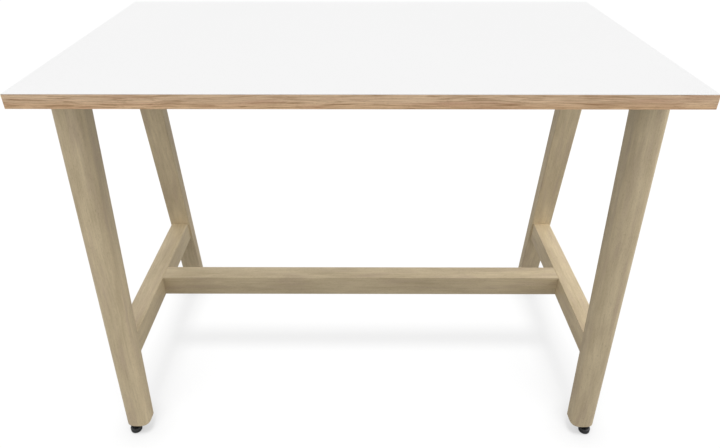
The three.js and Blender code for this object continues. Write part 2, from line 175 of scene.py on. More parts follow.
# Growth rings in the wood: how far their centre is from the piece's, how many turns round the
# piece a seed of 1 moves it, how far apart the rings are, and by how many rings they sway.
PITH_DISTANCE = 85 * MM
PITH_TURNS = 3.3
RING_PITCH = 4.6 * MM
RING_SWAY = 1.6

# The height over which the edge bands take on the tint of their underside.
TINT_BLEND = 12 * MM

# How far along each axis a piece's seed of 1 moves its patterns, and the middle of a noise.
SEED_STEPS = (7.1, 3.7, 5.3)
MID_GREY = (0.5, 0.5, 0.5)

# Boards differ: how much paler each is than the usual, and how much more so per metre of grain.
BOARD_TONES = {
    "leg_front_left": (0.08, -0.05),
    "leg_front_right": (-0.04, 0.0),
    "leg_back_left": (-0.05, 0.0),
    "leg_back_right": (-0.01, 0.0),
    "side_stretcher_left": (-0.04, 0.0),
    "side_stretcher_right": (0.05, 0.0),
    "centre_stretcher": (-0.08, 0.0),
}

# The stage: the floor's own glow, what it throws back on the table, and its shade near the feet.
FLOOR_REACH = 9.0
FLOOR_GLOW = 0.77
FLOOR_BOUNCE = (0.14, 0.14, 0.14, 1)
CONTACT_REACH = 80 * MM
CONTACT_SHADE = 0.4

# Light: the world as it lights and as it is seen, the two suns with their width and tilt in
# degrees, and the place and power of the lamps at the sides.
WORLD_LIGHT = 0.91
WORLD_SEEN = 1.05
SUN_WIDTH = 20
SUN_TILT = 8
OVERHEAD_POWER = 0.47
SHADOW_POWER = 5.5
LAMP_TARGET = (0, 0, 0.5)
LAMP_SIZE = 1.4
LAMPS = {"right": ((2.6, -0.2, 2.0), 40), "left": ((-2.4, -0.4, 2.6), 10)}

# The camera, as fitted to the photo: its angles, down and to the left, are in radians.
CAMERA_PLACE = (0.0021, -1.3034, 1.2518)
CAMERA_DIP = 0.5471
CAMERA_TURN = 0.0025
CAMERA_LENS = 29.985
CAMERA_SHIFT = -0.0168

SIDES = {"left": -1, "right": 1}
ENDS = {"front": -1, "back": 1}
CORNERS = [(end, side) for end in ENDS for side in SIDES]
LEVELS = ("lower", "upper")
SCREW_SPOTS = ("front", "middle", "back")

# ---- Mesh helpers --------------------------------------------------------------------------


def lerp(a, b, t):
    return a + (b - a) * t


def make_object(name, points, faces):
    """An object with smooth shading that breaks at sharp edges."""
    mesh = bpy.data.meshes.new(name)
    mesh.from_pydata([tuple(p) for p in points], [], faces)
    mesh.validate()
    obj = bpy.data.objects.new(name, mesh)
    bpy.context.scene.collection.objects.link(obj)
    shade(obj)
    return obj


def shade(obj):
    for polygon in obj.data.polygons:
        polygon.use_smooth = True
    obj.data.set_sharp_from_angle(angle=math.radians(SHARP_ANGLE))


def skin(rings):
    """Points and faces of a solid through rings of equal length, anticlockwise from its end."""
    count = len(rings[0])
    points = [p for ring in rings for p in ring]
    faces = []
    for level in range(len(rings) - 1):
        low = level * count
        for i in range(count):
            j = (i + 1) % count
            faces.append((low + i, low + j, low + count + j, low + count + i))
    faces.append(tuple(reversed(range(count))))
    faces.append(tuple(range(len(points) - count, len(points))))
    return points, faces


def lathe(profile, segments=ROUND_SEGMENTS):
    """Points and faces of a turned solid about Z. The profile is a list of (radius, height) going
    up the outside. A radius of 0 closes it on the axis, a radius may be a function of the angle,
    and a profile whose last entry is its first makes a ring."""
    is_ring = profile[0] == profile[-1]
    stations = profile[:-1] if is_ring else profile
    points = []
    starts = []
    for radius, height in stations:
        starts.append(len(points))
        if radius == 0:
            points.append(Vector((0, 0, height)))
            continue
        for i in range(segments):
            angle = 2 * math.pi * i / segments
            r = radius(angle) if callable(radius) else radius
            points.append(Vector((r * math.cos(angle), r * math.sin(angle), height)))
    faces = []
    for k in range(len(profile) - 1):
        low, high = starts[k], starts[(k + 1) % len(starts)]
        for i in range(segments):
            j = (i + 1) % segments
            if profile[k][0] == 0:
                faces.append((low, high + j, high + i))
            elif profile[k + 1][0] == 0:
                faces.append((low + i, low + j, high))
            else:
                faces.append((low + i, low + j, high + j, high + i))
    return points, faces


def hexagon(corner_radius, limit=1.0):
    """Radius of a hexagon as a function of the angle, cut back to limit metres by a cone."""
    apothem = corner_radius * math.cos(math.pi / 6)

    def radius(angle):
        off_flat = (angle + math.pi / 6) % (math.pi / 3) - math.pi / 6
        return min(apothem / math.cos(off_flat), limit)
    return radius


def thread(start, stop, crest, depth, pitch, tip_taper):
    """Profile entries of a right-hand thread between two heights. It runs out at both ends, and
    its last part narrows by tip_taper."""
    count = max(1, round((stop - start) / pitch * THREAD_STEPS))
    entries = []
    for k in range(count + 1):
        height = lerp(start, stop, k / count)
        run_out = min(1.0, (height - start) / pitch, (stop - height) / pitch)
        taper = tip_taper * max(0.0, 1 - (stop - height) / (3 * pitch))

        def radius(angle, height=height, fade=run_out, taper=taper):
            phase = (height / pitch - angle / (2 * math.pi)) % 1.0
            flank = min(1.0, max(0.0, FLANK_SLOPE * abs(phase - 0.5) - FLANK_START))
            return crest - taper - depth * (1 - fade * flank)
        entries.append((radius, height))
    return entries


def stand_on(origin, axis, points):
    """The points moved so that their own Z lies along axis from origin."""
    turn = Vector((0, 0, 1)).rotation_difference(Vector(axis))
    return [turn @ p + Vector(origin) for p in points]


def arc(centre, radius, start, stop, steps):
    """Points of an arc in a profile, angles in degrees."""
    result = []
    for i in range(steps + 1):
        angle = math.radians(lerp(start, stop, i / steps))
        result.append((centre[0] + radius * math.cos(angle), centre[1] + radius * math.sin(angle)))
    return result


def rod(start, stop, radius):
    """A cylinder that cuts a round hole."""
    start, stop = Vector(start), Vector(stop)
    axis = (stop - start).normalized()
    side = axis.orthogonal().normalized()
    other = axis.cross(side)
    rings = []
    for end in (start, stop):
        ring = []
        for i in range(HOLE_SEGMENTS):
            angle = 2 * math.pi * i / HOLE_SEGMENTS
            ring.append(end + radius * (side * math.cos(angle) + other * math.sin(angle)))
        rings.append(ring)
    return make_object("cutter", *skin(rings))


def block(low, high):
    """A box that cuts a slot."""
    corners = [(low[0], low[1]), (high[0], low[1]), (high[0], high[1]), (low[0], high[1])]
    rings = [[Vector((x, y, z)) for x, y in corners] for z in (low[2], high[2])]
    return make_object("cutter", *skin(rings))


def drill(obj, cutters):
    """Cuts the cutters out of obj for good, and removes them."""
    for cutter in cutters:
        modifier = obj.modifiers.new("hole", "BOOLEAN")
        modifier.operation = "DIFFERENCE"
        modifier.solver = "EXACT"
        modifier.object = cutter
    graph = bpy.context.evaluated_depsgraph_get()
    mesh = bpy.data.meshes.new_from_object(obj.evaluated_get(graph))
    old = obj.data
    obj.modifiers.clear()
    obj.data = mesh
    mesh.name = obj.name
    bpy.data.meshes.remove(old)
    for cutter in cutters:
        spare = cutter.data
        bpy.data.objects.remove(cutter)
        bpy.data.meshes.remove(spare)
    shade(obj)


def turn_grain(obj, grain, face):
    """Gives obj a local frame with Z along the grain and X close to face. Nothing moves."""
    z = Vector(grain).normalized()
    y = z.cross(Vector(face)).normalized()
    x = y.cross(z)
    centre = sum((v.co for v in obj.data.vertices), Vector()) / len(obj.data.vertices)
    matrix = Matrix((x, y, z)).transposed().to_4x4()
    matrix.translation = centre
    obj.data.transform(matrix.inverted())
    obj.matrix_world = matrix


def settle(obj, node, material, seed):
    """Puts obj in the place of a CAD node: its body and its finish. seed picks
    the piece's own part of a pattern."""
    lift, fade = BOARD_TONES.get(node, (0.0, 0.0))
    obj.data.materials.clear()
    obj.data.materials.append(material)
    obj["grain_seed"] = float(seed)
    obj["grain_lift"] = lift
    obj["grain_fade"] = fade
    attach(obj, body_of_node(node))
    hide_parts(node)


def body_of_node(node):
    for body, nodes in frame["record"]["behaviour"]["bodies"].items():
        if node in nodes:
            return body
    raise KeyError(node)


def slice_box(node, height):
    """Lowest and highest corner of the part of a CAD node's surface at a height."""
    vertices = frame["nodes"][node].data.vertices
    points = [v.co for v in vertices if abs(v.co.z - height) < SLICE_REACH]
    low = Vector((min(p.x for p in points), min(p.y for p in points), height))
    high = Vector((max(p.x for p in points), max(p.y for p in points), height))
    return low, high


def middle(node):
    low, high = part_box(node)
    return (low + high) / 2


# ---- Material helpers ----------------------------------------------------------------------


class Graph:
    """A material's node tree, built from its inputs to its shader."""

    def __init__(self, name):
        self.material = bpy.data.materials.new(name)
        self.material.use_nodes = True
        self.tree = self.material.node_tree
        self.tree.nodes.clear()
        self.output = self.tree.nodes.new("ShaderNodeOutputMaterial")
        self.at = self.tree.nodes.new("ShaderNodeTexCoord").outputs["Object"]
        self.seed = self.custom("grain_seed")
        self.shifted = self.vector("ADD", self.at, self.far_place())

    def node(self, kind, inputs=None, **settings):
        made = self.tree.nodes.new(kind)
        for key, value in settings.items():
            setattr(made, key, value)
        for key, value in (inputs or {}).items():
            self.feed(made.inputs[key], value)
        return made

    def feed(self, socket, value):
        if isinstance(value, bpy.types.NodeSocket):
            self.tree.links.new(value, socket)
        else:
            socket.default_value = value

    def math(self, operation, a, b=0.0, c=0.0, clamp=False):
        made = self.node("ShaderNodeMath", {0: a, 1: b, 2: c}, operation=operation, use_clamp=clamp)
        return made.outputs[0]

    def vector(self, operation, a, b=(0, 0, 0)):
        made = self.node("ShaderNodeVectorMath", {0: a, 1: b}, operation=operation)
        return made.outputs["Value" if operation in ("LENGTH", "DOT_PRODUCT") else "Vector"]

    def far_place(self):
        """A place of the piece's own, so that no two pieces show the same part of a pattern."""
        return self.node("ShaderNodeCombineXYZ", {
            axis: self.math("MULTIPLY", self.seed, metres) for axis, metres in enumerate(SEED_STEPS)
        }).outputs[0]

    def stretch(self, scales):
        return self.vector("MULTIPLY", self.shifted, scales)

    def custom(self, name):
        """A number that is kept on the piece itself, or 0."""
        made = self.node("ShaderNodeAttribute", attribute_type="OBJECT", attribute_name=name)
        return made.outputs["Fac"]

    def noise(self, vector, scale=1.0, detail=2.0, roughness=0.5, output=0):
        made = self.node("ShaderNodeTexNoise", {
            "Vector": vector, "Scale": scale, "Detail": detail, "Roughness": roughness,
        })
        return made.outputs[output]

    def ramp(self, value, stops):
        """A grey ramp through (position, level) stops."""
        made = self.node("ShaderNodeValToRGB", {0: value})
        ramp = made.color_ramp
        while len(ramp.elements) < len(stops):
            ramp.elements.new(0.5)
        for element, (position, level) in zip(ramp.elements, stops):
            element.position = position
            element.color = (level, level, level, 1)
        return made.outputs[0]

    def mix(self, factor, a, b, blend="MIX"):
        made = self.node("ShaderNodeMix", data_type="RGBA", blend_type=blend)
        self.feed(made.inputs[0], factor)
        self.feed(made.inputs[6], a)
        self.feed(made.inputs[7], b)
        return made.outputs[2]

    def edge(self, radius):
        """0 on flats, rising to 1 at edges that are tighter than radius."""
        bevel = self.node("ShaderNodeBevel", {"Radius": radius}, samples=6).outputs[0]
        normal = self.node("ShaderNodeNewGeometry").outputs["Normal"]
        agreement = self.vector("DOT_PRODUCT", bevel, normal)
        return self.ramp(self.math("SUBTRACT", 1.0, agreement), [(0.0, 0.0), (0.12, 1.0)])

    def finish(self, colour, roughness, height, depth, **others):
        """Ends the tree in a shader. height is the surface's relief, and depth how deep it is."""
        bump = self.node("ShaderNodeBump", {"Height": height, "Distance": depth, "Strength": 1.0})
        inputs = {"Base Color": colour, "Roughness": roughness, "Normal": bump.outputs[0]}
        inputs.update({key.replace("_", " "): value for key, value in others.items()})
        shader = self.node("ShaderNodeBsdfPrincipled", inputs)
        self.tree.links.new(shader.outputs[0], self.output.inputs[0])
        return self.material


def rgb(red, green, blue):
    """A linear colour from display values out of 255."""
    def linear(value):
        value /= 255
        return value / 12.92 if value <= 0.04045 else ((value + 0.055) / 1.055) ** 2.4
    return (linear(red), linear(green), linear(blue), 1)


# ---- Materials -----------------------------------------------------------------------------


def solid_wood(name, pale, dark, blush, pore, rings, streaks, swings, fineness=1.0, tint=None,
               roughness=0.5):
    """Wood with growth rings about a pith beside the piece, so that its faces show long figure
    and its ends show arcs, and with patches, figure, streaks, fibres and pores along local Z.
    rings and streaks say how strongly those dark lines show, and swings how much the patches,
    figure, streaks and fibres vary the tone. fineness narrows the pattern across the grain. tint
    multiplies the colour towards local -X, which is the underside of an edge band."""
    g = Graph(name)
    sway = g.noise(g.stretch((6.0, 6.0, 2.4)), detail=2.0, output=1)
    sway = g.vector("MULTIPLY", g.vector("SUBTRACT", sway, MID_GREY), (0.026, 0.026, 0.0))
    ripple = g.noise(g.stretch((30.0, 30.0, 13.0)), detail=1.0, output=1)
    ripple = g.vector("MULTIPLY", g.vector("SUBTRACT", ripple, MID_GREY), (0.006, 0.006, 0.0))
    wander = g.vector("ADD", sway, ripple)
    grain = g.vector("ADD", g.shifted, wander)

    def drawn(across, along, **settings):
        scales = (fineness * across, fineness * across, along)
        return g.noise(g.vector("MULTIPLY", grain, scales), **settings)

    turn = g.math("MULTIPLY", g.seed, 2 * math.pi * PITH_TURNS)
    pith = g.node("ShaderNodeCombineXYZ", {
        0: g.math("MULTIPLY", g.math("COSINE", turn), PITH_DISTANCE),
        1: g.math("MULTIPLY", g.math("SINE", turn), PITH_DISTANCE),
        2: 0.0,
    }).outputs[0]
    across = g.vector("MULTIPLY", g.vector("ADD", g.at, pith), (1.0, 1.0, 0.0))
    radius = g.vector("LENGTH", g.vector("ADD", across, wander))
    uneven = g.math("MULTIPLY", g.noise(g.stretch((55.0, 55.0, 5.0))), RING_SWAY)
    turns = g.math("FRACT", g.math("ADD", g.math("DIVIDE", radius, RING_PITCH), uneven))
    late = g.ramp(turns, [(0.0, 0.25), (0.3, 0.0), (0.75, 0.7), (0.92, 1.0), (1.0, 0.25)])

    patch = drawn(26.0, 5.0, detail=2.0)
    figure = drawn(120.0, 17.0, detail=3.0, roughness=0.55)
    streak = drawn(330.0, 9.0, detail=3.0, roughness=0.6)
    dark_streak = g.ramp(streak, [(0.50, 0.0), (0.66, 1.0)])
    fibre = drawn(1100.0, 24.0, detail=2.0, roughness=0.6)
    pores = g.ramp(drawn(2400.0, 150.0, detail=1.0), [(0.60, 0.0), (0.68, 1.0)])

    depth = g.math("MULTIPLY_ADD", late, rings, 0.30 - 0.4 * rings)
    depth = g.math("ADD", depth, g.math("MULTIPLY", dark_streak, streaks))
    for part, swing in zip((patch, figure, streak, fibre), swings):
        depth = g.math("MULTIPLY_ADD", g.math("SUBTRACT", part, 0.5), swing, depth)
    depth = g.math("ADD", depth, 0.0, clamp=True)
    colour = g.mix(depth, pale, dark)
    blushing = g.ramp(drawn(60.0, 8.0, detail=2.0), [(0.5, 0.0), (0.75, 0.6)])
    colour = g.mix(blushing, colour, blush)
    colour = g.mix(g.math("MULTIPLY", pores, 0.35), colour, pore)
    # Paler along every edge: a painted highlight, as on edges that catch the light.
    edge_mix = g.math("MULTIPLY", g.edge(2.2 * MM), 0.55)
    colour = g.mix(edge_mix, colour, pale)
    up, _, along = g.node("ShaderNodeSeparateXYZ", {0: g.at}).outputs
    if tint:
        below = g.math("MULTIPLY_ADD", up, -1 / TINT_BLEND, 0.25, clamp=True)
        colour = g.mix(below, colour, g.mix(1.0, colour, tint, "MULTIPLY"))
    lift = g.math("ADD", g.custom("grain_lift"), 1.0)
    lift = g.math("MULTIPLY_ADD", g.custom("grain_fade"), along, lift)
    colour = g.mix(1.0, colour, lift, "MULTIPLY")

    gloss = g.math("MULTIPLY_ADD", fibre, 0.18, roughness - 0.09)
    gloss = g.math("ADD", gloss, g.math("MULTIPLY", pores, 0.2))
    height = g.math("SUBTRACT", g.math("MULTIPLY", fibre, 0.5), pores)
    return g.finish(colour, gloss, height, 0.06 * MM, Coat_Weight=0.08, Coat_Roughness=0.35)


def laminate(name, colour, shade_colour, roughness):
    """High-pressure laminate: an even colour with a faint mottle and a fine pebbled surface."""
    g = Graph(name)
    mottle = g.noise(g.stretch((3.0, 3.0, 3.0)), detail=3.0)
    pebble = g.noise(g.stretch((1400.0, 1400.0, 1400.0)), detail=2.0)
    smear = g.noise(g.stretch((11.0, 2.5, 2.5)), detail=4.0, roughness=0.6)
    # Darker along the edges.
    edge_mix = g.math("MULTIPLY", g.edge(0.8 * MM), 0.3)
    mixed = g.mix(g.math("MULTIPLY", mottle, 0.3), colour, shade_colour)
    mixed = g.mix(edge_mix, mixed, shade_colour)
    gloss = g.math("ADD", g.math("MULTIPLY", smear, 0.12), roughness - 0.06)
    return g.finish(mixed, gloss, pebble, 0.02 * MM)


def particle_board():
    """Sanded chipboard: flat chips of several browns in a fine dust."""
    g = Graph("core_board")
    chips = g.node("ShaderNodeTexVoronoi", {"Vector": g.stretch((1.0, 0.6, 2.2)), "Scale": 260.0})
    dust = g.noise(g.stretch((1.0, 1.0, 1.0)), scale=1800.0, detail=3.0)
    pick = g.node("ShaderNodeSeparateColor", {0: chips.outputs["Color"]}).outputs[0]
    colour = g.mix(pick, rgb(214, 184, 140), rgb(160, 124, 84))
    colour = g.mix(g.math("MULTIPLY", dust, 0.4), colour, rgb(196, 166, 124))
    height = g.math("ADD", g.math("MULTIPLY", pick, 0.5), dust)
    return g.finish(colour, 0.85, height, 0.15 * MM)


def plated_steel(name, plating, bloom_colour, worn_colour, roughness):
    """Plated steel: a faint bloom in its colour, turning marks, and brighter worn edges."""
    g = Graph(name)
    bloom = g.noise(g.stretch((120.0, 120.0, 120.0)), detail=3.0)
    marks = g.noise(g.stretch((60.0, 60.0, 5000.0)), detail=2.0)
    colour = g.mix(bloom, plating, bloom_colour)
    colour = g.mix(g.math("MULTIPLY", g.edge(0.5 * MM), 0.5), colour, worn_colour)
    gloss = g.math("MULTIPLY_ADD", bloom, 0.25, roughness - 0.12)
    return g.finish(colour, gloss, marks, 0.01 * MM, Metallic=1.0)


def black_nylon():
    """Moulded nylon: near black, finely stippled, scuffed grey along its edges."""
    g = Graph("black_nylon")
    stipple = g.noise(g.stretch((2200.0, 2200.0, 2200.0)), detail=2.0)
    scuff = g.noise(g.stretch((300.0, 300.0, 90.0)), detail=4.0, roughness=0.7)
    scuffed = g.math("MULTIPLY", g.edge(1.2 * MM), scuff)
    colour = g.mix(scuff, rgb(30, 30, 31), rgb(52, 53, 54))
    colour = g.mix(g.math("MULTIPLY", scuffed, 0.8), colour, rgb(104, 104, 104))
    gloss = g.math("MULTIPLY_ADD", scuff, 0.3, 0.3)
    return g.finish(colour, gloss, stipple, 0.04 * MM)


FRAME_WOOD = solid_wood(
    "frame_wood", pale=rgb(220, 202, 167), dark=rgb(162, 144, 112), blush=rgb(188, 167, 143),
    pore=rgb(118, 99, 72), rings=0.10, streaks=0.05, swings=(0.85, 0.62, 0.16, 0.18),
)
EDGE_WOOD = solid_wood(
    "edge_wood", pale=rgb(244, 213, 177), dark=rgb(160, 122, 84), blush=rgb(206, 164, 134),
    pore=rgb(122, 88, 60), rings=0.20, streaks=0.42, swings=(0.50, 0.70, 0.75, 0.40),
    fineness=1.5, tint=(0.99, 0.92, 0.83, 1), roughness=0.42,
)
DOWEL_WOOD = solid_wood(
    "dowel_wood", pale=rgb(226, 200, 156), dark=rgb(192, 160, 112), blush=rgb(214, 176, 136),
    pore=rgb(150, 116, 74), rings=0.15, streaks=0.1, swings=(0.85, 0.80, 0.35, 0.28),
    roughness=0.75,
)
WHITE_LAMINATE = laminate("white_laminate", rgb(241, 241, 241), rgb(235, 235, 235), 0.42)
BACKING_LAMINATE = laminate("backing_laminate", rgb(222, 218, 209), rgb(205, 200, 190), 0.6)
CORE_BOARD = particle_board()
ZINC_STEEL = plated_steel(
    "zinc_steel", rgb(206, 208, 210), rgb(186, 182, 166), rgb(222, 222, 222), 0.32,
)
BLACK_STEEL = plated_steel(
    "black_steel", rgb(44, 45, 47), rgb(58, 56, 56), rgb(110, 110, 112), 0.42,
)
BLACK_NYLON = black_nylon()

# ---- Legs ----------------------------------------------------------------------------------


def leg_outline(low, high, crown, outward, inset=0.0):
    """The leg's section inside a box: a crowned outer side, straight flanks, and a flat inner
    face with small rounded corners. outward is -1 on front legs. inset shrinks it evenly."""
    centre = (low + high) / 2
    half = (high.x - low.x) / 2 - inset
    depth = high.y - low.y
    flank = depth / 2 - crown
    power = 2 / CROWN_EXPONENT
    outline = []
    for i in range(CROWN_STEPS + 1):
        angle = math.pi * i / CROWN_STEPS
        across = math.copysign(abs(math.cos(angle)) ** power, math.cos(angle))
        along = math.sin(angle) ** power if 0 < i < CROWN_STEPS else 0.0
        outline.append((half * across, flank + (crown - inset) * along))
    inner = inset - depth / 2
    r = INNER_RADIUS
    outline += arc((r - half, r + inner), r, 180, 270, 6)
    outline += arc((half - r, r + inner), r, 270, 360, 6)
    points = [Vector((centre.x + u, centre.y + outward * v, low.z)) for u, v in outline]
    return points if outward > 0 else points[::-1]


def dowel_hole(node):
    """A cutter round a dowel of the CAD model, a little wider and longer than it."""
    low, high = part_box(node)
    centre = (low + high) / 2
    size = high - low
    axis = max(range(3), key=lambda i: size[i])
    start, stop = centre.copy(), centre.copy()
    start[axis] = low[axis] - DOWEL_END_SPACE
    stop[axis] = high[axis] + DOWEL_END_SPACE
    return rod(start, stop, DOWEL_HOLE_RADIUS)


def leg(end, side, seed):
    node = f"leg_{end}_{side}"
    outward = ENDS[end]
    bottom, top = (corner.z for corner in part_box(node))
    foot = slice_box(node, bottom)
    head = slice_box(node, top)
    rings = []
    for i in range(FOOT_STEPS + 1):
        angle = math.pi / 2 * i / FOOT_STEPS
        lift = FOOT_EASING * (1 - math.cos(angle))
        t = lift / (top - bottom)
        low, high = lerp(foot[0], head[0], t), lerp(foot[1], head[1], t)
        crown = lerp(CROWN_AT_FOOT, CROWN_AT_HEAD, t)
        inset = FOOT_EASING * (1 - math.sin(angle))
        rings.append(leg_outline(low, high, crown, outward, inset))
    rings.append(leg_outline(*head, CROWN_AT_HEAD, outward))
    obj = make_object(f"leg.{end}.{side}", *skin(rings))

    insert_low, insert_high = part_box(f"foot_insert_{end}_{side}")
    stud_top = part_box(f"foot_stud_{end}_{side}")[1].z
    x, y = middle(f"foot_insert_{end}_{side}").xy
    insert_radius = (insert_high.x - insert_low.x) / 2 + HOLE_GAP
    seat = insert_high.z + HOLE_GAP
    cutters = [
        rod((x, y, bottom - MM), (x, y, seat), insert_radius),
        rod((x, y, seat - MM), (x, y, stud_top + STUD_ROOM), STUD_RADIUS + HOLE_GAP),
    ]
    for kind in ("stretcher", "rail"):
        for level in LEVELS:
            cutters.append(dowel_hole(f"{kind}_dowel_{end}_{side}_{level}"))
    drill(obj, cutters)
    axis = (head[0] + head[1]) - (foot[0] + foot[1])
    turn_grain(obj, axis, (1, 0, 0))
    settle(obj, node, FRAME_WOOD, seed)


# ---- Stretchers and rails ------------------------------------------------------------------


def eased_section(width, height):
    """A bar's rectangle with rounded corners as (across, up) points, anticlockwise."""
    w, h = width / 2 - BAR_EASING, height / 2 - BAR_EASING
    outline = []
    for u, v, start in ((w, h, 0), (-w, h, 90), (-w, -h, 180), (w, -h, 270)):
        outline += arc((u, v), BAR_EASING, start, start + 90, EASING_STEPS)
    return outline


def cross_bar(name, node, holes, seed):
    """A bar along Y between a front and a back leg, its ends cut to the legs' slope."""
    low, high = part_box(node)
    centre = (low + high) / 2
    ends_low = slice_box(node, low.z)[1].y
    ends_high = slice_box(node, high.z)[1].y
    section = eased_section(high.x - low.x, high.z - low.z)
    rings = []
    for sign in (1, -1):
        ring = []
        for across, up in section:
            z = centre.z + up
            y = lerp(ends_low, ends_high, (z - low.z) / (high.z - low.z))
            ring.append(Vector((centre.x + across, sign * y, z)))
        rings.append(ring)
    obj = make_object(name, *skin(rings))
    drill(obj, holes)
    turn_grain(obj, (0, 1, 0), (1, 0, 0))
    settle(obj, node, FRAME_WOOD, seed)


def side_stretcher(side, seed):
    node = f"side_stretcher_{side}"
    sign = SIDES[side]
    low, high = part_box(node)
    outer = high.x if sign > 0 else low.x
    inner = low.x if sign > 0 else high.x
    z = middle(f"centre_bolt_{side}").z
    seat = outer - sign * COUNTERBORE_DEPTH
    holes = [dowel_hole(f"stretcher_dowel_{end}_{side}_{level}")
             for end in ENDS for level in LEVELS]
    holes.append(dowel_hole(f"centre_dowel_{side}"))
    holes.append(rod((seat, 0, z), (outer + sign * MM, 0, z), COUNTERBORE_RADIUS))
    holes.append(rod((inner - sign * MM, 0, z), (seat + sign * MM, 0, z), BOLT_HOLE_RADIUS))
    cross_bar(f"stretcher.{side}", node, holes, seed)


def top_rail(side, seed):
    node = f"top_rail_{side}"
    low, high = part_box(node)
    holes = [dowel_hole(f"rail_dowel_{end}_{side}_{level}")
             for end in ENDS for level in LEVELS]
    seat = low.z + SCREW_COUNTERBORE_DEPTH
    for spot in SCREW_SPOTS:
        x, y = middle(f"top_screw_{side}_{spot}").xy
        holes.append(rod((x, y, low.z - MM), (x, y, seat), SCREW_COUNTERBORE_RADIUS))
        holes.append(rod((x, y, seat - MM), (x, y, high.z + MM), SCREW_HOLE_RADIUS))
    cross_bar(f"top_rail.{side}", node, holes, seed)


def centre_stretcher(seed):
    node = "centre_stretcher"
    low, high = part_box(node)
    centre = (low + high) / 2
    section = eased_section(high.y - low.y, high.z - low.z)
    rings = [[Vector((x, centre.y + across, centre.z + up)) for across, up in section]
             for x in (low.x, high.x)]
    obj = make_object("stretcher.centre", *skin(rings))
    holes = []
    for side, sign in SIDES.items():
        bolt_low, bolt_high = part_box(f"centre_bolt_{side}")
        tip = bolt_low.x if sign > 0 else bolt_high.x
        z = middle(f"centre_bolt_{side}").z
        face = high.x if sign > 0 else low.x
        holes.append(rod((face + sign * MM, 0, z), (tip - sign * 2 * MM, 0, z), BOLT_HOLE_RADIUS))
        holes.append(dowel_hole(f"centre_dowel_{side}"))
        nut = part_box(f"barrel_nut_{side}")
        x = middle(f"barrel_nut_{side}").x
        holes.append(rod((x, 0, low.z - MM), (x, 0, nut[1].z + HOLE_GAP), BARREL_HOLE_RADIUS))
    drill(obj, holes)
    turn_grain(obj, (1, 0, 0), (0, 1, 0))
    settle(obj, node, FRAME_WOOD, seed)


# ---- Top -----------------------------------------------------------------------------------


def slab(name, node, easing, grain, face, material, seed):
    """A sheet or strip of the top with eased edges."""
    low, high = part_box(node)
    xs, ys, zs = (low.x, high.x), (low.y, high.y), (low.z, high.z)
    points = [Vector((x, y, z)) for z in zs for y in ys for x in xs]
    faces = [(0, 2, 3, 1), (4, 5, 7, 6), (0, 1, 5, 4), (1, 3, 7, 5), (3, 2, 6, 7), (2, 0, 4, 6)]
    obj = make_object(name, points, faces)
    bevel = obj.modifiers.new("eased", "BEVEL")
    bevel.width = easing
    bevel.segments = 3
    bevel.harden_normals = True
    turn_grain(obj, grain, face)
    settle(obj, node, material, seed)


def build_top():
    slab("top.laminate", "top_laminate", LAMINATE_EASING, (1, 0, 0), (0, 0, 1),
         WHITE_LAMINATE, 0.11)
    for i, end in enumerate(ENDS):
        slab(f"edge_band.{end}", f"edge_band_{end}", BAND_EASING, (1, 0, 0), (0, 0, 1),
             EDGE_WOOD, 0.31 + 0.17 * i)
    for i, side in enumerate(SIDES):
        slab(f"edge_band.{side}", f"edge_band_{side}", BAND_EASING, (0, 1, 0), (0, 0, 1),
             EDGE_WOOD, 0.63 + 0.17 * i)


# ---- Fasteners -----------------------------------------------------------------------------


def turned(name, profile, node, origin, axis, material, segments=ROUND_SEGMENTS, grain=None):
    """A turned piece that stands on origin along axis. Its grain follows its axis, unless told."""
    points, faces = lathe(profile, segments)
    obj = make_object(name, stand_on(origin, axis, points), faces)
    grain = Vector(grain or axis)
    turn_grain(obj, grain, grain.orthogonal())
    settle(obj, node, material, sum(origin))
    return obj


def dowels():
    """Fluted dowels with chamfered ends in place of the CAD model's plain ones."""
    def fluted(angle):
        valley = max(0.0, math.cos(DOWEL_FLUTES * angle)) ** 2
        return DOWEL_RADIUS - DOWEL_FLUTE_DEPTH * valley

    for node in frame["nodes"]:
        if "_dowel_" not in node:
            continue
        low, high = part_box(node)
        size = high - low
        axis = Vector((0, 0, 0))
        axis[max(range(3), key=lambda i: size[i])] = 1
        length = max(size)
        tip = DOWEL_RADIUS - DOWEL_CHAMFER
        profile = [
            (0, -length / 2),
            (tip, -length / 2),
            (fluted, DOWEL_CHAMFER - length / 2),
            (fluted, length / 2 - DOWEL_CHAMFER),
            (tip, length / 2),
            (0, length / 2),
        ]
        turned(node.replace("_dowel_", "_dowel."), profile, node, middle(node), axis,
               DOWEL_WOOD, 6 * DOWEL_FLUTES)


def socket_screw(head_radius, head_height, socket, socket_depth, radius, length, thread_start,
                 thread_depth, pitch, tip_taper):
    """Profile of a screw with a domed head and a hexagon socket, its seat at height 0 and its tip
    at length. radius is its shank's and its thread's."""
    rim = head_height * 0.3
    profile = [
        (0, socket_depth - head_height),
        (hexagon(socket), socket_depth - head_height),
        (hexagon(socket), 0.3 * MM - head_height),
        (socket + 0.4 * MM, -head_height),
        (head_radius - rim, -head_height),
    ]
    profile += arc((head_radius - rim, rim - head_height), rim, -60, 0, 4)
    profile += [(head_radius, -0.3 * MM), (head_radius - 0.3 * MM, 0), (radius, 0)]
    profile += thread(thread_start, length - 0.3 * pitch, radius, thread_depth, pitch, tip_taper)
    profile.append((0, length))
    return profile


